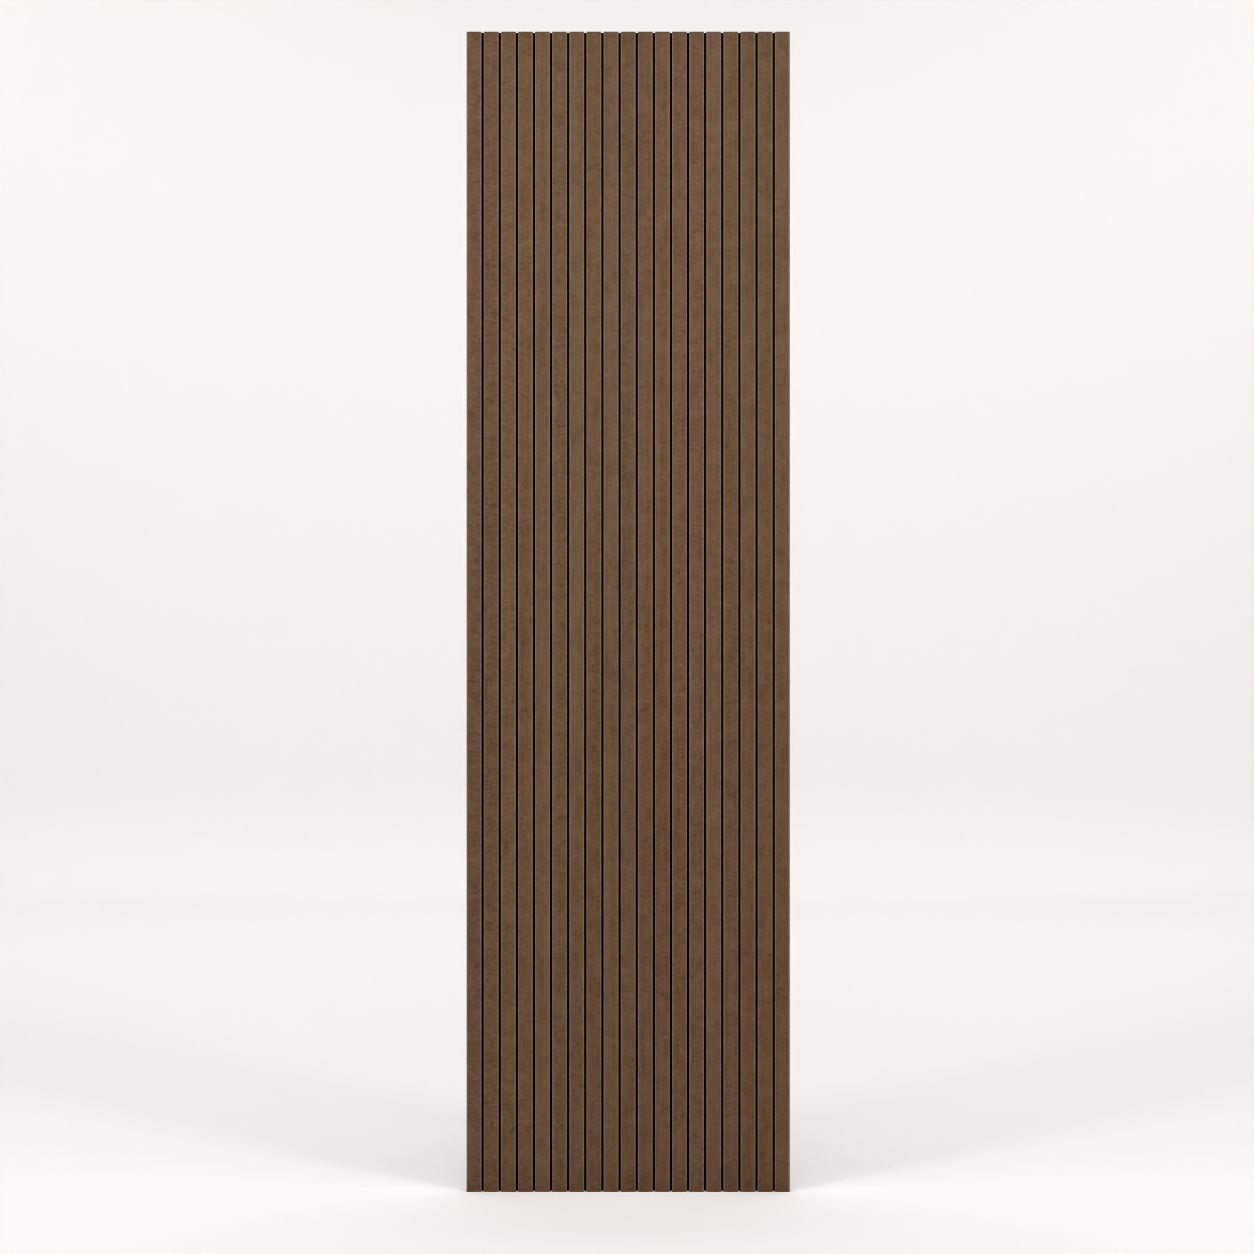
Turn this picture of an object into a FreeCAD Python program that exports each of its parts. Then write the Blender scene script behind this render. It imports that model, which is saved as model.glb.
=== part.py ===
# Acoustic slat wall panel: veneer-wrapped fibreboard slats, glued and stapled to one sheet of felt.
#
# The panel is drawn upright, as it is fixed to a wall. X runs across it, Y from the room to the wall and Z up.
# The origin is the middle of the lower edge of the back face, so the wall is the plane y = 0.
import FreeCAD, Part
import math
import os

import Sketcher

Vector = FreeCAD.Vector

# Driving sizes in millimetres, and counts.
SIZES = {
    "panel_length": 2168,    # slats and felt, floor to top
    "slat_count": 19,
    "core_width": 27,        # fibreboard core of a slat, across the panel
    "core_thick": 11.5,      # fibreboard core of a slat, front to back
    "core_radius": 0.7,      # eased front edges of the core
    "veneer_thick": 0.5,     # veneer wrapped round the core's face and long edges
    "groove_width": 4,       # open groove between two slats
    "felt_thick": 9,
    "staple_rows": 4,        # staples in each slat
    "staple_margin": 100,    # from a slat's end to the middle of its first staple
    "staple_crown": 10,      # length of a staple's crown, over both legs
    "wire_width": 1.2,       # flat staple wire, seen from the back
    "wire_thick": 0.6,
    "crown_sink": 0.4,       # how far a crown is pulled into the felt
    "leg_bite": 5,           # how far the legs go into the core
}

# Sizes that follow from the driving ones.
SLAT_WIDTH = "(sizes.core_width + 2 * sizes.veneer_thick)"
SLAT_PITCH = f"({SLAT_WIDTH} + sizes.groove_width)"
SLAT_SPAN = f"((sizes.slat_count - 1) * {SLAT_PITCH})"  # first slat's middle to the last one's
PANEL_WIDTH = f"({SLAT_SPAN} + {SLAT_WIDTH})"
ROW_SPAN = "(sizes.panel_length - 2 * sizes.staple_margin)"  # first staple row to the last
LEG_TIP = "(sizes.felt_thick + sizes.leg_bite)"  # from the wall to the tips of the staple legs

# How a sketch numbers the two ends of a line or arc, and its own origin point.
START, END = range(1, 3)
ORIGIN = (-1, 1)


def make_sheet(doc):
    # One row for each driving size: its name beside its value.
    sheet = doc.addObject("Spreadsheet::Sheet", "sizes")
    for row, (name, value) in enumerate(SIZES.items(), start=1):
        sheet.set(f"A{row}", name)
        sheet.set(f"B{row}", str(value))
        sheet.setAlias(f"B{row}", name)
    doc.recompute()
    return sheet


def value_of(doc, size):
    return float(doc.sizes.evalExpression(size))


def make_body(doc, label):
    body = doc.addObject("PartDesign::Body", label)
    body.Label = label
    return body


def origin_feature(body, role):
    return next(feature for feature in body.Origin.OriginFeatures if feature.Role == role)


def make_sketch(body, name, plane):
    sketch = body.newObject("Sketcher::SketchObject", name)
    sketch.AttachmentSupport = (origin_feature(body, plane), [""])
    sketch.MapMode = "FlatFace"
    return sketch


def dimension(sketch, name, kind, where, size):
    # A named dimension of the sketch that follows the sheet.
    number = sketch.addConstraint(Sketcher.Constraint(kind, *where, value_of(sketch.Document, size)))
    sketch.renameConstraint(number, name)
    sketch.setExpression(f"Constraints.{name}", size)


def straight_outline(sketch, corners):
    # A closed outline of level and upright lines.
    for number, (start, end) in enumerate(zip(corners, corners[1:] + corners[:1])):
        sketch.addGeometry(Part.LineSegment(Vector(*start, 0), Vector(*end, 0)))
        direction = "Horizontal" if start[1] == end[1] else "Vertical"
        sketch.addConstraint(Sketcher.Constraint(direction, number))
    for number in range(len(corners)):
        following = (number + 1) % len(corners)
        sketch.addConstraint(Sketcher.Constraint("Coincident", number, END, following, START))


def felt_outline(body):
    # Plan of the felt: as wide as all the slats, with its back on the wall.
    doc = body.Document
    half_width = value_of(doc, PANEL_WIDTH) / 2
    thick = value_of(doc, "sizes.felt_thick")
    sketch = make_sketch(body, f"{body.Name}_plan", "XY_Plane")
    straight_outline(sketch, [(-half_width, 0), (half_width, 0), (half_width, -thick), (-half_width, -thick)])
    back, right_side = 0, 1
    sketch.addConstraint(Sketcher.Constraint("Symmetric", back, START, back, END, *ORIGIN))
    dimension(sketch, "width", "DistanceX", (back, START, back, END), PANEL_WIDTH)
    dimension(sketch, "thick", "DistanceY", (right_side, END, right_side, START), "sizes.felt_thick")
    return sketch


def slat_outline(body, name, skin):
    # Plan of a slat, square at its back and eased at both front edges.
    # The skin is what lies over the core: nothing, or the veneer. Its back is on the local x axis.
    doc = body.Document
    width = f"sizes.core_width + 2 * {skin}"
    depth = f"sizes.core_thick + {skin}"
    radius = f"sizes.core_radius + {skin}"
    half, front, ease = value_of(doc, width) / 2, -value_of(doc, depth), value_of(doc, radius)
    left_centre = Vector(ease - half, front + ease, 0)
    right_centre = Vector(half - ease, front + ease, 0)
    upward = Vector(0, 0, 1)
    sketch = make_sketch(body, name, "XY_Plane")
    back, right_side, right_arc, face, left_arc, left_side = range(6)
    sketch.addGeometry([
        Part.LineSegment(Vector(-half, 0, 0), Vector(half, 0, 0)),
        Part.LineSegment(Vector(half, 0, 0), Vector(half, front + ease, 0)),
        Part.ArcOfCircle(Part.Circle(right_centre, upward, ease), 1.5 * math.pi, 2 * math.pi),
        Part.LineSegment(Vector(half - ease, front, 0), Vector(ease - half, front, 0)),
        Part.ArcOfCircle(Part.Circle(left_centre, upward, ease), math.pi, 1.5 * math.pi),
        Part.LineSegment(Vector(-half, front + ease, 0), Vector(-half, 0, 0)),
    ])
    sketch.addConstraint([
        Sketcher.Constraint("Horizontal", back),
        Sketcher.Constraint("Vertical", right_side),
        Sketcher.Constraint("Horizontal", face),
        Sketcher.Constraint("Vertical", left_side),
        Sketcher.Constraint("Coincident", back, END, right_side, START),
        Sketcher.Constraint("Tangent", right_side, END, right_arc, END),
        Sketcher.Constraint("Tangent", right_arc, START, face, START),
        Sketcher.Constraint("Tangent", face, END, left_arc, END),
        Sketcher.Constraint("Tangent", left_arc, START, left_side, START),
        Sketcher.Constraint("Coincident", left_side, END, back, START),
        Sketcher.Constraint("Equal", right_arc, left_arc),
        Sketcher.Constraint("Symmetric", back, START, back, END, *ORIGIN),
    ])
    dimension(sketch, "width", "DistanceX", (back, START, back, END), width)
    dimension(sketch, "depth", "DistanceY", (face, START, *ORIGIN), depth)
    dimension(sketch, "radius", "Radius", (right_arc,), radius)
    return sketch


def staple_outline(body, name, crown_back, wall, first_slat):
    # Side view of a staple, or of the seat that it makes: a crown along the slat and two legs towards the room.
    # It is drawn at the first row of the slat whose middle is at first_slat, with the wall at the local y of wall.
    # The crown's back is crown_back from the wall.
    doc = body.Document
    crown_front = "sizes.crown_sink + sizes.wire_thick"
    outer = value_of(doc, "sizes.staple_crown") / 2
    inner = outer - value_of(doc, "sizes.wire_thick")
    back, neck, tip = -value_of(doc, crown_back), -value_of(doc, crown_front), -value_of(doc, LEG_TIP)
    sketch = make_sketch(body, name, "YZ_Plane")
    straight_outline(sketch, [
        (back, outer), (back, -outer), (tip, -outer), (tip, -inner),
        (neck, -inner), (neck, inner), (tip, inner), (tip, outer),
    ])
    crown, lower_leg, lower_tip, throat, upper_tip = 0, 1, 2, 4, 6
    sketch.addConstraint(Sketcher.Constraint("Equal", lower_tip, upper_tip))
    sketch.addConstraint(Sketcher.Constraint("Vertical", lower_tip, START, upper_tip, START))
    dimension(sketch, "crown", "DistanceY", (crown, END, crown, START), "sizes.staple_crown")
    dimension(sketch, "half_crown", "DistanceY", (crown, END, *ORIGIN), "sizes.staple_crown / 2")
    dimension(sketch, "wire", "DistanceY", (lower_tip, START, lower_tip, END), "sizes.wire_thick")
    dimension(sketch, "throat", "DistanceX", (throat, START, *ORIGIN), crown_front)
    dimension(sketch, "tip", "DistanceX", (lower_leg, END, *ORIGIN), LEG_TIP)
    if value_of(doc, crown_back) == 0:
        sketch.addConstraint(Sketcher.Constraint("PointOnObject", crown, START, -2))
    else:
        dimension(sketch, "back", "DistanceX", (crown, START, *ORIGIN), crown_back)
    sketch.setExpression("AttachmentOffset.Base.x", wall)
    sketch.setExpression("AttachmentOffset.Base.y", "sizes.staple_margin")
    sketch.setExpression("AttachmentOffset.Base.z", first_slat)
    return sketch


def pad_upright(body, sketch):
    pad = body.newObject("PartDesign::Pad", f"{body.Name}_length")
    pad.Profile = sketch
    pad.setExpression("Length", "sizes.panel_length")
    return pad


def repeat_staples(body, original, across):
    # Rows up the slats and, where the piece spans them all, from slat to slat as well.
    pattern = body.newObject("PartDesign::LinearPattern", f"{body.Name}_rows")
    pattern.Originals = [original]
    pattern.Direction = (origin_feature(body, "Z_Axis"), [""])
    pattern.setExpression("Length", ROW_SPAN)
    pattern.setExpression("Occurrences", "sizes.staple_rows")
    if across:
        pattern.Direction2 = (origin_feature(body, "X_Axis"), [""])
        pattern.setExpression("Length2", SLAT_SPAN)
        pattern.setExpression("Occurrences2", "sizes.slat_count")
    body.Tip = pattern


def cut_staple_seats(body, wall, first_slat, across):
    # Slots that the staples fill, open to the wall behind each crown.
    seat = staple_outline(body, f"{body.Name}_seat", "0", wall, first_slat)
    pocket = body.newObject("PartDesign::Pocket", f"{body.Name}_slot")
    pocket.Profile = seat
    pocket.SideType = "Symmetric"
    pocket.setExpression("Length", "sizes.wire_width")
    body.Document.recompute()
    repeat_staples(body, pocket, across)


def make_felt(doc):
    body = make_body(doc, "felt_backing")
    pad_upright(body, felt_outline(body))
    doc.recompute()
    cut_staple_seats(body, "0", f"-{SLAT_SPAN} / 2", across=True)
    return body


def make_staples(doc):
    body = make_body(doc, "staples")
    side_view = staple_outline(body, "staple_side", "sizes.crown_sink", "0", f"-{SLAT_SPAN} / 2")
    wire = body.newObject("PartDesign::Pad", "staple_wire")
    wire.Profile = side_view
    wire.SideType = "Symmetric"
    wire.setExpression("Length", "sizes.wire_width")
    doc.recompute()
    repeat_staples(body, wire, across=True)
    return body


def place_slat(body, number):
    # On the felt's front face, the first slat at the left as seen from the room.
    body.setExpression("Placement.Base.x", f"{number} * {SLAT_PITCH} - {SLAT_SPAN} / 2")
    body.setExpression("Placement.Base.y", "-sizes.felt_thick")


def make_core(doc, number):
    body = make_body(doc, f"slat_core_{number + 1:02d}")
    pad_upright(body, slat_outline(body, f"{body.Name}_plan", "0"))
    doc.recompute()
    cut_staple_seats(body, "sizes.felt_thick", "0", across=False)
    place_slat(body, number)
    return body


def make_veneer(doc, number):
    # The slat's outer form, with the core taken out of it.
    body = make_body(doc, f"slat_veneer_{number + 1:02d}")
    pad_upright(body, slat_outline(body, f"{body.Name}_outside", "sizes.veneer_thick"))
    doc.recompute()
    hollow = body.newObject("PartDesign::Pocket", f"{body.Name}_hollow")
    hollow.Profile = slat_outline(body, f"{body.Name}_inside", "0")
    hollow.Type = "ThroughAll"
    hollow.Reversed = True
    place_slat(body, number)
    return body


def check_model(doc, bodies):
    for item in doc.Objects:
        if "Invalid" in item.State or "Error" in item.State:
            raise RuntimeError(f"{item.Label} failed: {item.State}")
    for body in bodies:
        if body.Shape.isNull() or not body.Shape.isValid() or not body.Shape.Solids:
            raise RuntimeError(f"{body.Label} has no sound solid")


def main():
    doc = FreeCAD.newDocument("slat_panel")
    make_sheet(doc)
    bodies = [make_felt(doc), make_staples(doc)]
    for number in range(int(value_of(doc, "sizes.slat_count"))):
        bodies.append(make_core(doc, number))
        bodies.append(make_veneer(doc, number))
    doc.recompute()
    check_model(doc, bodies)
    os.makedirs("parts", exist_ok=True)
    for body in bodies:
        body.Shape.exportStep(f"parts/{body.Label}.step")
    print(f"{len(bodies)} pieces")


main()
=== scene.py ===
import math
import random

import bpy
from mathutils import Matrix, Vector, noise


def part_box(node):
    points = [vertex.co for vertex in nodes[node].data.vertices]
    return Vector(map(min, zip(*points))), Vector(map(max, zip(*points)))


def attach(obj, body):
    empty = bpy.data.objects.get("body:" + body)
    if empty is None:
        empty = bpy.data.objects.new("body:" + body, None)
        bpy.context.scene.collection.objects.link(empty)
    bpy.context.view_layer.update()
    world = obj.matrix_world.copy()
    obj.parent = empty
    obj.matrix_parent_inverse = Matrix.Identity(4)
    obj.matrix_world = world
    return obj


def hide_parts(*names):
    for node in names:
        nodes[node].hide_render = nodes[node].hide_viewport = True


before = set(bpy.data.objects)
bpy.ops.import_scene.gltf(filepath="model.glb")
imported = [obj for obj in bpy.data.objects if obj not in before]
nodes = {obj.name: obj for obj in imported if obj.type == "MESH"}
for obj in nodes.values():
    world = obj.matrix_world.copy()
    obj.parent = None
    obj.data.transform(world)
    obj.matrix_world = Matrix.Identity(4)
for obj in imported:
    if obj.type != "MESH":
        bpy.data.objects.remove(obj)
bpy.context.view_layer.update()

slatNames = sorted(name[-2:] for name in nodes if name.startswith("slat_veneer_"))
slatLow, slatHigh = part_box("slat_veneer_01")
nextLow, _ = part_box("slat_veneer_02")
feltLow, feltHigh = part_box("felt_backing")
slatPitch = nextLow.x - slatLow.x
slatWidth = slatHigh.x - slatLow.x
groove = slatPitch - slatWidth
panelHeight = feltHigh.z - feltLow.z
mmPerMetre = 1000.0
print(f"frame: {len(slatNames)} slats, pitch {slatPitch * mmPerMetre:.1f} mm,"
      f" height {panelHeight * mmPerMetre:.0f} mm")


# Node helpers, used by every material below.

def wire(tree, socket, value):
    if isinstance(value, bpy.types.NodeSocket):
        tree.links.new(value, socket)
    else:
        socket.default_value = value


def addNode(tree, kind, wires=None, **settings):
    node = tree.nodes.new(kind)
    for name, value in settings.items():
        setattr(node, name, value)
    for name, value in (wires or {}).items():
        wire(tree, node.inputs[name], value)
    return node


def calc(tree, operation, *values):
    return addNode(tree, "ShaderNodeMath", dict(enumerate(values)), operation=operation).outputs[0]


def vectorCalc(tree, operation, first, second):
    wires = {0: first, "Scale" if operation == "SCALE" else 1: second}
    return addNode(tree, "ShaderNodeVectorMath", wires, operation=operation).outputs[0]


def addUp(tree, first, *shares):  # first, plus each value times its share
    total = first
    for value, share in shares:
        total = calc(tree, "ADD", total, calc(tree, "MULTIPLY", value, share))
    return total


def ramp(tree, value, low, high, bottom=0.0, top=1.0):  # soft step from low to high
    wires = {"Value": value, "From Min": low, "From Max": high, "To Min": bottom, "To Max": top}
    return addNode(tree, "ShaderNodeMapRange", wires, interpolation_type="SMOOTHSTEP").outputs["Result"]


def opaque(colour):
    return (*colour, 1)


def blendColours(tree, share, first, second):
    wires = {0: share, 6: first, 7: second}  # the node's colours are its inputs 6 and 7, and its output 2
    return addNode(tree, "ShaderNodeMix", wires, data_type="RGBA").outputs[2]


def turnedAbout(tree, spot, angle):  # turned in the plane of the panel
    wires = {"Vector": spot, "Angle": angle}
    return addNode(tree, "ShaderNodeVectorRotate", wires, rotation_type="Y_AXIS").outputs[0]


def addRelief(tree, shader, height, look):
    wires = {"Height": height, "Strength": look["reliefStrength"], "Distance": look["reliefHeight"]}
    wire(tree, shader["Normal"], addNode(tree, "ShaderNodeBump", wires).outputs[0])


def newGroup(name, entries, exits):
    group = bpy.data.node_groups.new(name, "ShaderNodeTree")
    for label, kind, value in entries:
        socket = group.interface.new_socket(label, in_out="INPUT", socket_type=kind)
        if value is not None:
            socket.default_value = value
    for label, kind in exits:
        group.interface.new_socket(label, in_out="OUTPUT", socket_type=kind)
    return group, group.nodes.new("NodeGroupInput").outputs, group.nodes.new("NodeGroupOutput").inputs


def place(tree, group, **wires):
    return addNode(tree, "ShaderNodeGroup", wires, node_tree=group).outputs


def newMaterial(name, viewColour):
    material = bpy.data.materials.new(name)
    material.use_nodes = True
    material.diffuse_color = opaque(viewColour)
    tree = material.node_tree
    tree.nodes.clear()
    shader = addNode(tree, "ShaderNodeBsdfPrincipled")
    addNode(tree, "ShaderNodeOutputMaterial", {"Surface": shader.outputs[0]})
    return material, tree, shader.inputs


# Effects that several materials share.

floatSocket, vectorSocket = "NodeSocketFloat", "NodeSocketVector"
fleckLook = {"roughness": 0.55, "middle": 0.5, "gain": 4.0}
addressLook = {"shift": 9000.0}  # mm: each slat has its own wood


def placeOnPart(tree):  # in metres, with y from front to back and z up
    return addNode(tree, "ShaderNodeTexCoord").outputs["Object"]


def inMillimetres(tree):
    return vectorCalc(tree, "SCALE", placeOnPart(tree), mmPerMetre)


def makeFleckGroup():  # soft flecks of a given size in mm, from about -1 to 1
    look = fleckLook
    group, entry, out = newGroup(
        "fleck",
        [("Vector", vectorSocket, None), ("Shift", floatSocket, 0.0), ("Across", floatSocket, 2.0),
         ("Along", floatSocket, 2.0), ("Detail", floatSocket, 2.0), ("Swirl", floatSocket, 0.0)],
        [("Value", floatSocket)])
    moved = vectorCalc(group, "ADD", entry["Vector"], entry["Shift"])
    sides = {"X": entry["Across"], "Y": entry["Across"], "Z": entry["Along"]}
    size = addNode(group, "ShaderNodeCombineXYZ", sides).outputs[0]
    wires = {"Vector": vectorCalc(group, "DIVIDE", moved, size), "Scale": 1.0, "Detail": entry["Detail"],
             "Roughness": look["roughness"], "Distortion": entry["Swirl"]}
    cloud = addNode(group, "ShaderNodeTexNoise", wires).outputs[0]
    centred = calc(group, "SUBTRACT", cloud, look["middle"])
    wire(group, out["Value"], calc(group, "MULTIPLY", centred, look["gain"]))
    return group


def makeAddressGroup():  # chances by slat, and mm in from a slat's long edges and behind its face
    group, entry, out = newGroup(
        "slatAddress",
        [("Seed", floatSocket, 0.0)],
        [("Tone", floatSocket), ("Hue", floatSocket), ("Figure", floatSocket), ("Shift", floatSocket),
         ("Inset", floatSocket), ("Depth", floatSocket)])
    x, y, _ = addNode(group, "ShaderNodeSeparateXYZ", {0: placeOnPart(group)}).outputs
    fromEdge = calc(group, "SUBTRACT", x, slatLow.x)
    pitches = calc(group, "DIVIDE", calc(group, "ADD", fromEdge, groove / 2), slatPitch)
    number = calc(group, "FLOOR", pitches)
    local = calc(group, "SUBTRACT", fromEdge, calc(group, "MULTIPLY", number, slatPitch))
    nearest = calc(group, "MINIMUM", local, calc(group, "SUBTRACT", slatWidth, local))
    behind = calc(group, "SUBTRACT", y, slatLow.y)
    wire(group, out["Inset"], calc(group, "MULTIPLY", nearest, mmPerMetre))
    wire(group, out["Depth"], calc(group, "MULTIPLY", behind, mmPerMetre))
    wires = {"W": calc(group, "ADD", number, entry["Seed"])}
    dice = addNode(group, "ShaderNodeTexWhiteNoise", wires, noise_dimensions="1D").outputs
    chances = addNode(group, "ShaderNodeSeparateColor", {0: dice["Color"]}).outputs
    for label, value in zip(("Tone", "Hue", "Figure"), chances):
        wire(group, out[label], value)
    wire(group, out["Shift"], calc(group, "MULTIPLY", dice["Value"], addressLook["shift"]))
    return group


fleckGroup = makeFleckGroup()
addressGroup = makeAddressGroup()
print("effects: fleck and slat address groups")


# Veneer: the brown wood that wraps each slat. Sizes are mm across and along the grain.

veneerLook = {
    "brown": (0.1055, 0.0525, 0.0218),
    "redBrown": (0.1108, 0.0507, 0.0213),
    "greyBrown": (0.1001, 0.0545, 0.0226),
    # painted highlight: a pale colour laid along the slats' long arrises in place of light caught on them
    "paintedEdgeHighlight": (0.1442, 0.0988, 0.0637),
    # kinds of figure: size, detail, swirl
    "figure": {
        "band": (9.0, 900.0, 1.0, 0.0),
        "streak": (4.0, 40.0, 1.0, 0.0),
        "fibre": (0.6, 110.0, 1.0, 0.0),
        "mottle": (6.5, 6.0, 1.0, 0.8),
        "ripple": (15.0, 4.5, 1.0, 1.2),
        "blotch": (24.0, 28.0, 2.0, 0.5),
    },
    # kinds of mark: size, detail, swirl, and how strong a fleck has to be to show, and to show in full
    "marks": {
        "dashes": (0.8, 14.0, 1.0, 0.0, 0.35, 0.95),
        "pores": (0.25, 5.0, 0.0, 0.0, 0.25, 0.80),
        "pales": (4.2, 4.6, 0.0, 0.0, 0.80, 1.25),
        "knots": (9.0, 13.0, 1.0, 1.0, 1.00, 1.50),
        "strokes": (3.4, 16.0, 0.0, 0.3, 0.95, 1.40),
    },
    # how much each of them makes the wood paler
    "tone": {
        "band": 0.11, "streak": 0.07, "fibre": 0.09, "mottle": 0.17, "ripple": 0.16, "blotch": 0.17,
        "dashes": -0.09, "pores": -0.16, "pales": 0.20, "knots": -0.28, "strokes": 0.18,
    },
    "lift": (0.0813, 0.0566, 0.0382),    # added by one step of tone: pale marks are greyer than dark ones
    "slatTone": 0.14,                    # paler or darker, from slat to slat
    "slatHue": 0.22,                     # redder or greyer, from slat to slat
    "hueDrift": ((8.0, 2400.0, 0.70), (9.0, 32.0, 0.32)),     # in long bands and in patches: size, share
    "blueDrift": ((7.5, 1700.0, 0.20), (8.0, 26.0, 0.07)),    # more or less blue
    "straight": (0.70, 1.30),            # strength of bands, streaks and fibres, by slat
    "wild": (1.25, 0.75),                # strength of mottle and ripple, by slat
    "strokeSlant": (-1.1, 1.1),          # radians that the short pale strokes lean, by slat
    "highlightInset": (3.2, 1.6),              # mm in from the long edges: where the painted edge highlight ends, and is full
    "highlightDepth": (0.9, 0.2),              # mm behind the face, the same round the arris
    "highlightStrength": 0.90,
    "highlightPatch": (5.0, 150.0, 2.0),       # size, detail
    "highlightPatchShare": 0.22,
    "highlightMottleShare": 0.15,
    "roughness": 0.62,
    "roughShare": {"mottle": 0.05, "dashes": 0.12},
    "reliefShare": {"streak": 0.2, "mottle": 0.25, "dashes": -0.3, "pores": -0.3},
    "reliefStrength": 0.3, "reliefHeight": 0.0002,
    "gloss": 0.25,
    "seed": 11.0,
}


def makeVeneer():
    look = veneerLook
    material, tree, shader = newMaterial("walnutVeneer", look["brown"])
    slat = place(tree, addressGroup, Seed=look["seed"])
    spot = inMillimetres(tree)

    def fleck(across, along, detail=0.0, swirl=0.0, at=spot):
        sizes = {"Across": across, "Along": along, "Detail": detail, "Swirl": swirl}
        return place(tree, fleckGroup, Vector=at, Shift=slat["Shift"], **sizes)["Value"]

    def bySlat(bottom, top):  # some slats are cut straighter in the grain
        return ramp(tree, slat["Figure"], 0.0, 1.0, bottom, top)

    def drift(start, bands):
        return addUp(tree, start, *[(fleck(across, along), share) for across, along, share in bands])

    leaning = turnedAbout(tree, spot, bySlat(*look["strokeSlant"]))
    pattern = {name: fleck(*sizes) for name, sizes in look["figure"].items()}
    for name, (*sizes, shows, full) in look["marks"].items():
        at = leaning if name == "strokes" else spot
        pattern[name] = ramp(tree, fleck(*sizes, at), shows, full)

    def shares(kind, *names):
        return [(pattern[name], look[kind][name]) for name in names or look[kind]]

    grain = addUp(tree, 0.0, *shares("tone", "band", "streak", "fibre"))
    curl = addUp(tree, 0.0, *shares("tone", "mottle", "ripple"))
    slatTone = calc(tree, "SUBTRACT", slat["Tone"], 0.5)
    tone = addUp(tree, 0.0, (grain, bySlat(*look["straight"])), (curl, bySlat(*look["wild"])),
                 *shares("tone", "blotch"), (slatTone, look["slatTone"]), *shares("tone", *look["marks"]))

    slatHue = addUp(tree, 0.5 - look["slatHue"] / 2, (slat["Hue"], look["slatHue"]))
    hue = drift(slatHue, look["hueDrift"])  # red at 0, brown at a half, grey at 1
    wood = blendColours(tree, ramp(tree, hue, 0.0, 0.5), opaque(look["redBrown"]), opaque(look["brown"]))
    wood = blendColours(tree, ramp(tree, hue, 0.5, 1.0), wood, opaque(look["greyBrown"]))
    parts = {"X": 1.0, "Y": 1.0, "Z": drift(1.0, look["blueDrift"])}
    wood = vectorCalc(tree, "MULTIPLY", wood, addNode(tree, "ShaderNodeCombineXYZ", parts).outputs[0])

    # painted highlight along both long arrises of each slat, broken into patches by noise and the mottle
    edge = calc(tree, "MULTIPLY", ramp(tree, slat["Inset"], *look["highlightInset"]),
                ramp(tree, slat["Depth"], *look["highlightDepth"]))
    highlightPatches = addUp(tree, look["highlightStrength"], (fleck(*look["highlightPatch"]), look["highlightPatchShare"]),
                   (pattern["mottle"], look["highlightMottleShare"]))
    wood = blendColours(tree, calc(tree, "MULTIPLY", edge, highlightPatches), wood, opaque(look["paintedEdgeHighlight"]))
    lift = vectorCalc(tree, "SCALE", look["lift"], tone)
    wire(tree, shader["Base Color"], vectorCalc(tree, "ADD", wood, lift))
    wire(tree, shader["Roughness"], addUp(tree, look["roughness"], *shares("roughShare")))
    addRelief(tree, shader, addUp(tree, 0.0, *shares("reliefShare")), look)
    shader["Specular IOR Level"].default_value = look["gloss"]
    return material


# Fibreboard: the slat cores, seen at their sawn ends.

boardLook = {
    "brown": (0.30, 0.205, 0.12),
    "dense": (0.19, 0.125, 0.07),
    "denseFrom": (0.0028, 0.0058),       # metres off the middle: pressed harder and darker towards both faces
    "dotSize": 0.7, "clumpSize": 3.0,    # mm
    "dotDetail": 3.0,
    "dotTone": 0.22, "clumpTone": 0.12,
    "roughness": 0.85, "dotRoughness": 0.08,
    "reliefStrength": 0.5, "reliefHeight": 0.0002,
    "seed": 31.0,
}


def makeBoard():
    look = boardLook
    material, tree, shader = newMaterial("fibreboard", look["brown"])
    slat = place(tree, addressGroup, Seed=look["seed"])
    where = {"Vector": inMillimetres(tree), "Shift": slat["Shift"]}
    sizes = {"Across": look["dotSize"], "Along": look["dotSize"], "Detail": look["dotDetail"]}
    dots = place(tree, fleckGroup, **where, **sizes)["Value"]
    clumps = place(tree, fleckGroup, **where, Across=look["clumpSize"], Along=look["clumpSize"])["Value"]
    depth = addNode(tree, "ShaderNodeSeparateXYZ", {0: placeOnPart(tree)}).outputs["Y"]
    middle = (slatLow.y + slatHigh.y) / 2
    offMiddle = calc(tree, "ABSOLUTE", calc(tree, "SUBTRACT", depth, middle))
    dense = ramp(tree, offMiddle, *look["denseFrom"])
    board = blendColours(tree, dense, opaque(look["brown"]), opaque(look["dense"]))
    tone = addUp(tree, 1.0, (dots, look["dotTone"]), (clumps, look["clumpTone"]))
    wire(tree, shader["Base Color"], vectorCalc(tree, "SCALE", board, tone))
    wire(tree, shader["Roughness"], addUp(tree, look["roughness"], (dots, look["dotRoughness"])))
    addRelief(tree, shader, dots, look)
    return material


# Felt: the black backing sheet.

feltLook = {
    "black": (0.0060, 0.0032, 0.0026),
    "fibre": (0.025, 0.0200, 0.0180),
    "directions": (0.15, 0.95, 1.70, 2.55),    # radians from upright
    "fibreSize": (0.45, 5.5),                  # mm across and along
    "fibreDetail": 1.0,
    "fibreShows": (0.3, 1.9),                  # how strong a fleck has to be to show, and to show in full
    "wander": 3.0,                             # mm that the fibres bend sideways
    "wanderScale": 0.12, "wanderDetail": 1.0,
    "cloudSize": (16.0, 20.0),                 # mm, where fibres lie closer
    "cloudDetail": 3.0, "cloudShare": 0.35,
    "roughness": 0.93, "fibreRoughness": 0.04,
    "reliefStrength": 0.7, "reliefHeight": 0.0005,
    "gloss": 0.08,
    "sheen": 0.05, "sheenRoughness": 0.6,
}


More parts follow.
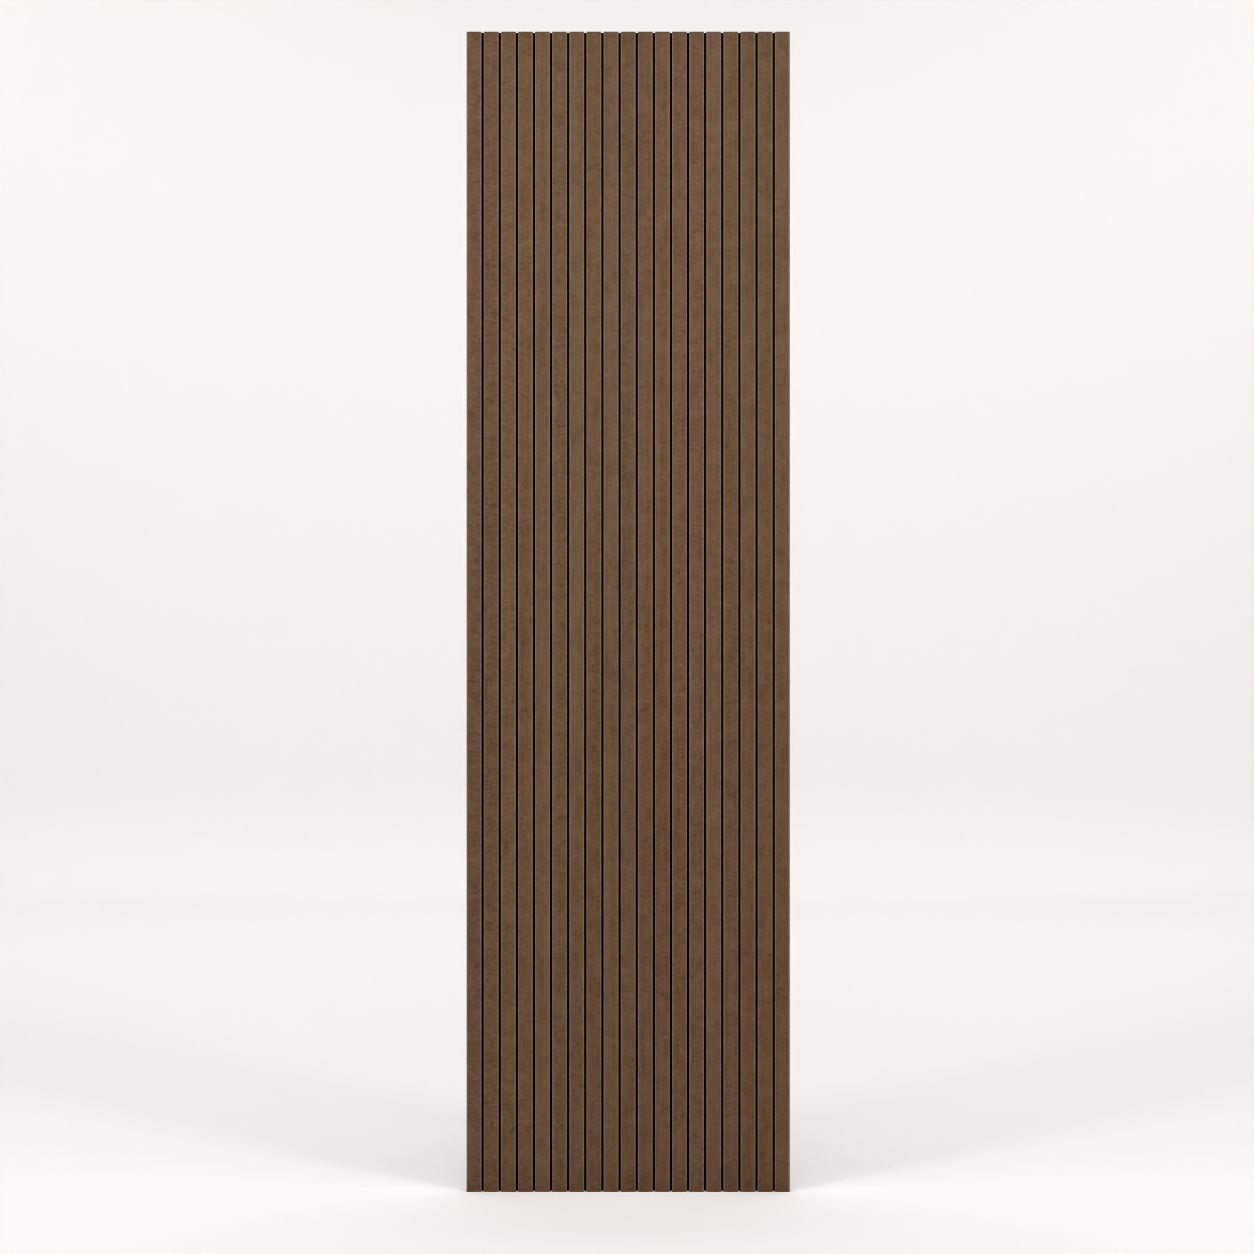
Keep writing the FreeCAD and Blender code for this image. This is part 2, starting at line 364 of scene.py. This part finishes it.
def makeFelt():
    look = feltLook
    material, tree, shader = newMaterial("blackFelt", look["black"])
    spot = inMillimetres(tree)

    def fleck(size, detail, at):
        return place(tree, fleckGroup, Vector=at, Across=size[0], Along=size[1], Detail=detail)["Value"]

    wires = {"Vector": spot, "Scale": look["wanderScale"], "Detail": look["wanderDetail"]}
    sideways = addNode(tree, "ShaderNodeTexNoise", wires).outputs["Color"]
    bent = vectorCalc(tree, "ADD", spot, vectorCalc(tree, "SCALE", sideways, 2 * look["wander"]))
    fibres = -1.0
    for angle in look["directions"]:
        strand = fleck(look["fibreSize"], look["fibreDetail"], turnedAbout(tree, bent, angle))
        fibres = calc(tree, "MAXIMUM", fibres, strand)
    clouds = fleck(look["cloudSize"], look["cloudDetail"], spot)
    share = ramp(tree, addUp(tree, fibres, (clouds, look["cloudShare"])), *look["fibreShows"])
    black, fibre = opaque(look["black"]), opaque(look["fibre"])
    wire(tree, shader["Base Color"], blendColours(tree, share, black, fibre))
    wire(tree, shader["Roughness"], addUp(tree, look["roughness"], (fibres, look["fibreRoughness"])))
    addRelief(tree, shader, fibres, look)
    shader["Specular IOR Level"].default_value = look["gloss"]
    shader["Sheen Weight"].default_value = look["sheen"]
    shader["Sheen Roughness"].default_value = look["sheenRoughness"]
    return material


# Zinc: the staple wire.

zincLook = {
    "bright": (0.60, 0.60, 0.61),
    "dull": (0.36, 0.36, 0.37),
    "patchSize": (1.0, 3.0),    # mm across and up
    "patchDetail": 2.0,
    "dullFrom": (-0.6, 0.9),    # how strong a fleck has to be to be dull, and quite dull
    "roughness": 0.3, "dullRoughness": 0.25,
}


def makeZinc():
    look = zincLook
    material, tree, shader = newMaterial("zincWire", look["bright"])
    across, along = look["patchSize"]
    sizes = {"Across": across, "Along": along, "Detail": look["patchDetail"]}
    patches = place(tree, fleckGroup, Vector=inMillimetres(tree), **sizes)["Value"]
    dull = ramp(tree, patches, *look["dullFrom"])
    wire(tree, shader["Base Color"], blendColours(tree, dull, opaque(look["bright"]), opaque(look["dull"])))
    wire(tree, shader["Roughness"], addUp(tree, look["roughness"], (dull, look["dullRoughness"])))
    shader["Metallic"].default_value = 1.0
    return material


veneer, fibreboard, blackFelt, zincWire = makeVeneer(), makeBoard(), makeFelt(), makeZinc()
print("materials: veneer, fibreboard, felt, zinc")


# Meshes, in metres.

def newObject(name, points, faces, material):
    mesh = bpy.data.meshes.new(name)
    mesh.from_pydata(points, [], faces)
    mesh.materials.append(material)
    mesh.shade_smooth()
    mesh.validate()
    made = bpy.data.objects.new(name, mesh)
    bpy.context.scene.collection.objects.link(made)
    return made


def newPiece(name, points, faces, material, slotName, *replaced):
    piece = newObject(name, points, faces, material)
    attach(piece, "root")
    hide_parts(*replaced)
    return piece


def ringFaces(rings, size):  # quads between closed rings of points, one ring after another
    faces = []
    for ring in range(rings - 1):
        for spot in range(size):
            following = (spot + 1) % size
            faces.append((ring * size + spot, ring * size + following,
                          (ring + 1) * size + following, (ring + 1) * size + spot))
    return faces


def moveFaces(faces, start):  # the same faces, with their points counted from start
    return [tuple(start + spot for spot in face) for face in faces]


def eased(share):  # from 0 to 1, slow at both ends
    return share * share * (3 - 2 * share)


def clamped(share):
    return min(1.0, max(0.0, share))


def quarterTurns(steps):  # angles from 0 to a right angle
    return [math.pi / 2 * step / steps for step in range(steps + 1)]


veneerShape = {
    "arcSteps": 6,
    "outerRadius": 0.0012,
    "thick": 0.0005,
    "faceSteps": 8,
    "rise": 0.060,         # about this far between cross-sections
    "endEase": 0.00025,    # the sawn ends lose their sharp outer edge
}


def veneerSection(inset):  # closed outline in plan, about the slat's middle, and its count of outer points
    shape = veneerShape
    half, back, front = slatWidth / 2 - inset, slatHigh.y, slatLow.y + inset
    skin = shape["thick"] - inset
    outer, inner = shape["outerRadius"] - inset, shape["outerRadius"] - shape["thick"]

    def corner(radius, side):  # from the slat's side to its face
        centre = Vector((side * (half - outer), front + outer))
        turns = quarterTurns(shape["arcSteps"])
        return [centre + radius * Vector((side * math.cos(turn), -math.sin(turn))) for turn in turns]

    left, right = corner(outer, -1), corner(outer, 1)
    across = [left[-1].lerp(right[-1], step / shape["faceSteps"]) for step in range(1, shape["faceSteps"])]
    outside = [Vector((-half, back))] + left + across + right[::-1] + [Vector((half, back))]
    innerLeft, innerRight = corner(inner, -1), corner(inner, 1)
    inside = [Vector((half - skin, back))] + innerRight + innerLeft[::-1] + [Vector((skin - half, back))]
    return outside + inside, len(outside)


def veneerEnd(size, outer):  # faces of a sawn end: a strip at each side, and one across the slat
    run = veneerShape["arcSteps"] + 2
    innerRow = list(range(size - 1, outer - 1, -1))  # inner points, from left to right
    left, right = (list(range(run)), innerRow[:run]), (list(range(outer - run, outer)), innerRow[-run:])
    faces = []
    for outerRun, innerRun in (left, right):
        for step in range(run - 1):
            faces.append((outerRun[step], outerRun[step + 1], innerRun[step + 1], innerRun[step]))
    faces.append(tuple(range(run - 1, outer - run + 1)) + (right[1][0], left[1][-1]))
    return faces


def makeVeneerPiece(name):
    low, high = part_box(f"slat_veneer_{name}")
    middle, ease = (low.x + high.x) / 2, veneerShape["endEase"]
    spans = round(panelHeight / veneerShape["rise"])
    straight = panelHeight - 2 * ease
    plainSection, outer = veneerSection(0.0)
    easedSection, _ = veneerSection(ease)
    levels = [(low.z + ease + straight * step / spans, plainSection) for step in range(spans + 1)]
    levels = [(low.z, easedSection), *levels, (high.z, easedSection)]
    points = [(middle + spot.x, spot.y, height) for height, section in levels for spot in section]
    size = len(plainSection)
    end = veneerEnd(size, outer)
    faces = ringFaces(len(levels), size)
    faces += [face[::-1] for face in end]
    faces += moveFaces(end, (len(levels) - 1) * size)
    return newPiece(f"veneer_{name}", points, faces, veneer, "veneer", f"slat_veneer_{name}")


for name in slatNames:
    makeVeneerPiece(name)
    core = nodes[f"slat_core_{name}"].data
    core.materials.clear()
    core.materials.append(fibreboard)
print("slats: veneers wrapped, cores dressed")


stapleShape = {
    "rows": 4,
    "crown": 0.010,
    "wide": 0.0012, "thick": 0.0006,   # flat wire
    "rounding": 0.00018,               # along the wire's own edges
    "bend": 0.0010,                    # radius at both corners, to the middle of the wire
    "bendSteps": 5,
    "tip": 0.0014,                     # length of the chisel points
    "tipSize": 0.2,                    # share of the wire's thickness that is left at the points
    "slip": 0.0004, "turn": 2.5,       # shot by hand, so up to 0.4 mm off and 2.5 degrees askew
    "seed": 5,
}


def stapleRowHeights():
    low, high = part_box("staples")
    rows, half = stapleShape["rows"], stapleShape["crown"] / 2
    first, last = low.z + half, high.z - half
    return [first + (last - first) * row / (rows - 1) for row in range(rows)]


def stapleSpots():  # middle of each crown, with its slip and turn
    shape = stapleShape
    draw = random.Random(shape["seed"])
    spots = []
    for height in stapleRowHeights():
        for name in slatNames:
            low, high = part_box(f"slat_veneer_{name}")
            slip = Vector((draw.uniform(-1, 1), draw.uniform(-1, 1))) * shape["slip"]
            turn = math.radians(draw.uniform(-1, 1) * shape["turn"])
            spots.append(((low.x + high.x) / 2 + slip.x, height + slip.y, turn))
    return spots


# The middle of one wire, tip to tip: y, z, which way its thickness lies, and how much of that is left.
def stapleLine():
    shape = stapleShape
    low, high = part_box("staples")
    halfThick, bend, tipSize = shape["thick"] / 2, shape["bend"], shape["tipSize"]
    crown, leg = high.y - halfThick, shape["crown"] / 2 - halfThick
    upward = (0.0, 1.0)
    line = [(low.y, leg - halfThick * (1 - tipSize), upward, tipSize),
            (low.y + shape["tip"], leg, upward, 1.0)]
    for turn in quarterTurns(shape["bendSteps"]):
        sine, cosine = math.sin(turn), math.cos(turn)
        line.append((crown - bend * (1 - sine), leg - bend * (1 - cosine), (sine, cosine), 1.0))
    return line + [(y, -z, (acrossY, -acrossZ), size) for y, z, (acrossY, acrossZ), size in reversed(line)]


def stapleSection():  # outline of the wire, with its edges cut off at 45 degrees
    halfWide, halfThick = stapleShape["wide"] / 2, stapleShape["thick"] / 2
    rounding = stapleShape["rounding"]
    section = []
    for wideSign, thickSign in ((1, 1), (1, -1), (-1, -1), (-1, 1)):
        corner = [(wideSign * (halfWide - rounding), thickSign * halfThick),
                  (wideSign * halfWide, thickSign * (halfThick - rounding))]
        section += corner if wideSign == thickSign else corner[::-1]
    return section


def makeStaples():
    line, section = stapleLine(), stapleSection()
    rings, count = len(line), len(section)
    foot = tuple(range(count))
    oneStaple = ringFaces(rings, count) + [foot[::-1]] + moveFaces([foot], (rings - 1) * count)
    points, faces = [], []
    for middle, height, turn in stapleSpots():
        faces += moveFaces(oneStaple, len(points))
        cosine, sine = math.cos(turn), math.sin(turn)
        for y, z, (acrossY, acrossZ), size in line:
            for wide, thick in section:
                up = z + acrossZ * thick * size
                points.append((middle + wide * cosine - up * sine, y + acrossY * thick * size,
                               height + wide * sine + up * cosine))
    return newPiece("stapleWires", points, faces, zincWire, "staple", "staples")


feltShape = {
    "edge": 0.0007,              # radius of the soft cut edges
    "edgeSteps": 3,
    "ragged": 0.00012,           # how far the cut edges draw back
    "raggedSize": 0.007, "raggedPlace": 0.3,    # of the noise that shapes them
    "swell": 0.00035,            # the felt stands up between the slats
    "uneven": 0.00030,           # hollows in the back
    "hollowSize": 0.022,
    "dimple": 0.00095,           # pulled in under each staple crown
    "dimpleFlat": 0.0006, "dimpleReach": 0.0042,
    "crownLines": (0.0007, 0.0016, 0.0028, 0.0045, 0.0090),    # grid lines either side of a crown
    "grooveLines": (-0.5, -0.18, 0.18, 0.5),                   # in a groove, as shares of its width
    "rowLines": (0.0, 0.0025, 0.0042, 0.0050, 0.0057, 0.0066, 0.0080, 0.0098),    # either side of a row
    "spacing": 0.012, "rise": 0.036,                           # between grid lines elsewhere, across and up
}


def smoothNoise(point, size):  # from about 0 to 1
    return 0.5 + 0.5 * noise.noise(point / size)


def gridLines(lowest, highest, fixed, spacing):  # fixed lines, with even ones in the gaps
    lines = sorted(line for line in set(fixed) | {lowest, highest} if lowest <= line <= highest)
    filled = []
    for lower, upper in zip(lines, lines[1:]):
        steps = max(1, round((upper - lower) / spacing))
        filled += [lower + (upper - lower) * step / steps for step in range(steps)]
    return filled + [highest]


def crownDistance(x, z, spot):  # how far a point of the back is from a staple's crown
    middle, height, turn = spot
    along = (z - height) * math.cos(turn) - (x - middle) * math.sin(turn)
    across = (x - middle) * math.cos(turn) + (z - height) * math.sin(turn)
    past = max(0.0, abs(along) - stapleShape["crown"] / 2 + stapleShape["bend"])
    return math.hypot(across, past)


def makeFeltPiece():
    shape = feltShape
    edge, sides = shape["edge"], (-1, 1)
    middles = [slatLow.x + slatWidth / 2 + slatPitch * number for number in range(len(slatNames))]
    grooves = [middle + slatPitch / 2 for middle in middles[:-1]]

    def slatNumber(x):  # of the nearest slat
        return round((x - middles[0]) / slatPitch)

    columns = {}
    for spot in stapleSpots():
        columns.setdefault(slatNumber(spot[0]), []).append(spot)
    acrossLines = [middle + side * line
                   for middle in middles for line in shape["crownLines"] for side in sides]
    acrossLines += middles
    acrossLines += [middle + groove * part for middle in grooves for part in shape["grooveLines"]]
    upLines = [height + side * line
               for height in stapleRowHeights() for line in shape["rowLines"] for side in sides]
    xs = gridLines(feltLow.x + edge, feltHigh.x - edge, acrossLines, shape["spacing"])
    zs = gridLines(feltLow.z + edge, feltHigh.z - edge, upLines, shape["rise"])

    def backDepth(x, z):
        depth = shape["uneven"] * clamped(smoothNoise(Vector((x, 0.0, z)), shape["hollowSize"]))
        slope = shape["dimpleReach"] - shape["dimpleFlat"]
        for spot in columns.get(slatNumber(x), []):
            away = (crownDistance(x, z, spot) - shape["dimpleFlat"]) / slope
            depth = max(depth, shape["dimple"] * eased(1 - clamped(away)))
        return depth

    def frontRise(x):
        fromGroove = abs((x - middles[0]) / slatPitch % 1.0 - 0.5) * slatPitch
        inside = middles[0] < x < middles[-1] and fromGroove < groove / 2
        return shape["swell"] * (1 - (2 * fromGroove / groove) ** 2) if inside else 0.0

    back = [[Vector((x, feltHigh.y - backDepth(x, z), z)) for z in zs] for x in xs]
    front = [[Vector((x, feltLow.y - frontRise(x), z)) for z in zs] for x in xs]
    points = [point for sheet in (back, front) for column in sheet for point in column]
    tall, half = len(zs), len(xs) * len(zs)
    faces = []
    for i in range(len(xs) - 1):
        for j in range(tall - 1):
            corner = i * tall + j
            faces.append((corner, corner + 1, corner + tall + 1, corner + tall))
            faces.append((half + corner, half + corner + tall, half + corner + tall + 1, half + corner + 1))
    # the cut edges: a rounded strip all the way round, from the back to the front
    right, top = len(xs) - 1, tall - 1
    loop = [(i, 0) for i in range(right)] + [(right, j) for j in range(top)]
    loop += [(i, top) for i in range(right, 0, -1)] + [(0, j) for j in range(top, 0, -1)]
    turns = quarterTurns(shape["edgeSteps"])[1:]
    strip = []
    for i, j in loop:
        outward = Vector(((i == right) - (i == 0), 0.0, (j == top) - (j == 0)))
        noisePoint = Vector((xs[i], shape["raggedPlace"], zs[j]))
        radius = edge - shape["ragged"] * smoothNoise(noisePoint, shape["raggedSize"])
        run = [i * tall + j]
        for order, sheet, inward in ((turns, back, -1), (turns[::-1], front, 1)):
            for turn in order:
                spot = sheet[i][j] + outward * (radius * math.sin(turn))
                spot.y += inward * edge * (1 - math.cos(turn))
                run.append(len(points))
                points.append(spot)
        strip.append(run + [half + i * tall + j])
    for one, other in zip(strip, strip[1:] + strip[:1]):
        for step in range(len(one) - 1):
            faces.append((one[step], other[step], other[step + 1], one[step + 1]))
    return newPiece("feltSheet", points, faces, blackFelt, "felt", "felt_backing")


makeStaples()
felt = makeFeltPiece()
print(f"backing: felt of {len(felt.data.polygons)} faces, {len(stapleSpots())} staples")


# Stage, light and camera.

stageLook = {
    "pale": (0.895, 0.881, 0.879),
    "roughness": 0.9, "gloss": 0.1,
    "wallAway": 6.0,                  # behind the panel
    "wide": 90.0, "front": 45.0,      # the other walls are far out of the picture
    "tall": 12.0,
    "sweep": 0.8, "sweepSteps": 32,   # length of the bend where the floor turns up
    "corner": 5.0, "cornerSteps": 12,
    "flat": 0.5,                      # plain strip of floor and of wall beside the sweep
}


def roomOutline(inset):  # walls in plan with rounded corners, this far inside them
    look = stageLook
    corner = look["corner"]
    radius = corner - inset
    right, back, front = look["wide"] / 2 - corner, look["wallAway"] - corner, corner - look["front"]
    outline = []
    for quarter, (x, y) in enumerate(((right, back), (-right, back), (-right, front), (right, front))):
        for step in range(look["cornerSteps"] + 1):
            turn = math.pi / 2 * (quarter + step / look["cornerSteps"])
            outline.append((x + radius * math.cos(turn), y + radius * math.sin(turn)))
    return outline


def makeStage():
    look = stageLook
    material, _, shader = newMaterial("paleStage", look["pale"])
    shader["Base Color"].default_value = opaque(look["pale"])
    shader["Roughness"].default_value = look["roughness"]
    shader["Specular IOR Level"].default_value = look["gloss"]
    stride = look["sweep"] / look["sweepSteps"]
    reach, height = 0.0, 0.0
    bend = [(-look["flat"], height), (reach, height)]
    for step in range(look["sweepSteps"]):
        # eased, so that no line shows where the bend starts
        turn = math.pi / 2 * eased((step + 0.5) / look["sweepSteps"])
        reach += stride * math.cos(turn)
        height += stride * math.sin(turn)
        bend.append((reach, height))
    bend += [(reach, height + look["flat"]), (reach, look["tall"])]
    points = [(x, y, up) for along, up in bend for x, y in roomOutline(reach - along)]
    size = len(points) // len(bend)
    faces = [tuple(range(size))] + [face[::-1] for face in ringFaces(len(bend), size)]
    room = newObject("paleRoom", points, faces, material)


# A lamp marked as a pair stands on both sides of the panel. Its spread is in degrees.
lampSet = {
    "corner": {
        "at": (2.1, -2.5, 3.2), "aim": (0.0, 0.0, 0.8), "size": (0.6, 0.5), "watts": 33.3, "pair": True},
    "panelHigh": {
        "at": (0.0, -2.6, 2.6), "aim": (0.0, 0.0, 1.6), "size": (1.0, 0.4), "watts": 2.56, "spread": 70.0},
    "nearFloor": {
        "at": (2.6, -1.2, 2.6), "aim": (2.0, -0.2, 0.0), "size": (1.0, 0.8), "watts": 9.4, "pair": True},
    "overFoot": {
        "at": (0.0, -0.3, 3.4), "aim": (0.0, 0.0, 0.0), "size": (0.5, 0.1), "watts": 0.102, "spread": 12.0},
    "farStrip": {
        "at": (0.0, 4.3, 3.4), "aim": (0.0, 4.6, 0.0), "size": (6.0, 0.3), "watts": 9.8},
    "wall": {
        "at": (3.6, 2.9, 5.0), "aim": (2.3, 6.0, 2.7), "size": (3.0, 1.5), "watts": 46.0, "pair": True},
}
roomLook = {"strength": 0.734, "colour": (1.0, 0.985, 0.965)}


def makeLamp(name, look, side=1):
    mirror = Vector((side, 1, 1))
    spot, aim = Vector(look["at"]) * mirror, Vector(look["aim"]) * mirror
    lamp = bpy.data.lights.new(name, "AREA")
    lamp.shape = "RECTANGLE"
    lamp.size, lamp.size_y = look["size"]
    lamp.energy = look["watts"]
    lamp.color = roomLook["colour"]
    if "spread" in look:
        lamp.spread = math.radians(look["spread"])
    lamp.cycles.use_multiple_importance_sampling = False  # hardly anything shines, so it only costs time
    holder = bpy.data.objects.new(name, lamp)
    bpy.context.scene.collection.objects.link(holder)
    holder.location = spot
    holder.rotation_euler = (aim - spot).to_track_quat("-Z", "Y").to_euler()


def makeLights():
    world = bpy.data.worlds.new("room")
    world.use_nodes = True
    bpy.context.scene.world = world
    sky = world.node_tree.nodes["Background"].inputs
    sky["Color"].default_value = opaque(roomLook["colour"])
    sky["Strength"].default_value = roomLook["strength"]
    bpy.context.scene.cycles.use_light_tree = False  # few lamps, so drawing them evenly is quicker
    for name, look in lampSet.items():
        if look.get("pair"):
            makeLamp(name + "Left", look, -1)
            makeLamp(name + "Right", look)
        else:
            makeLamp(name, look)


cameraSet = {
    "away": 5.4, "across": -0.00212, "height": 1.0554,    # from the slats' faces, the middle and the floor
    "lens": 82.97, "sensor": 36.0,                        # mm
    "farthest": 200.0,
    "crispness": 0.75,                                    # pixels that one sample reaches
}


def makeCamera():
    look = cameraSet
    lens = bpy.data.cameras.new("front")
    lens.lens, lens.sensor_width = look["lens"], look["sensor"]
    lens.clip_end = look["farthest"]
    camera = bpy.data.objects.new("front", lens)
    bpy.context.scene.collection.objects.link(camera)
    camera.location = (look["across"], slatLow.y - look["away"], look["height"])
    camera.rotation_euler = (math.pi / 2, 0.0, 0.0)
    bpy.context.scene.camera = camera
    bpy.context.scene.cycles.filter_width = look["crispness"]


makeStage()
makeLights()
makeCamera()
bpy.context.scene.view_settings.view_transform = "Standard"
print("stage, light and camera set")
